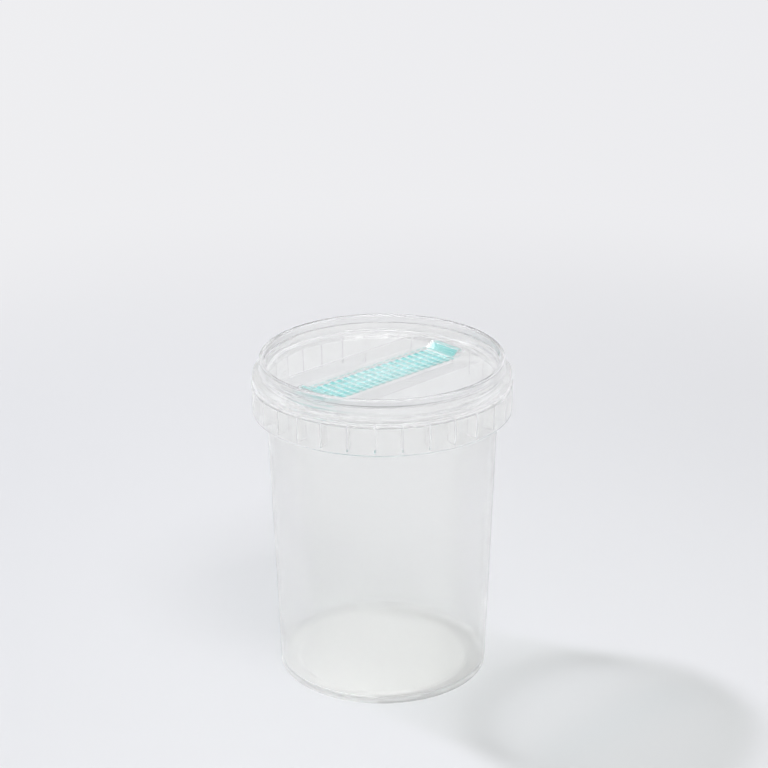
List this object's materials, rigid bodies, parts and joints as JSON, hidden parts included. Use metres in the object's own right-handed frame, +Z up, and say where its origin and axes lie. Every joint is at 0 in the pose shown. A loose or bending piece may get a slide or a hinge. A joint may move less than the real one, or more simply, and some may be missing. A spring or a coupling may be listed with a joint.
{
  "type": "tissue culture container",
  "caption": "Tall round translucent tub with a ribbed outer collar and a clear push-fit lid that has a stacking ring and a ladder-like strip of breathing filter.",
  "frame": {"origin": "centre of the foot that the tub stands on", "axes": "+Z up along the tub's axis; +Y away from the side that the picture shows"},
  "size_m": [0.118, 0.118, 0.1518],
  "materials": {
    "natural_polypropylene": "translucent, satin",
    "clear_polypropylene": "clear, gloss",
    "filter_fleece": "matte nonwoven with a welded grid"
  },
  "bodies": {
    "tub": {"tub": "natural_polypropylene"},
    "lid": {"lid": "clear_polypropylene", "filter_strip": "filter_fleece"}
  },
  "joints": [
    {"name": "lid_lift", "type": "slide", "parent": "tub", "child": "lid", "axis": [0, 0, 1], "range_m": [0, 0.04]}
  ]
}
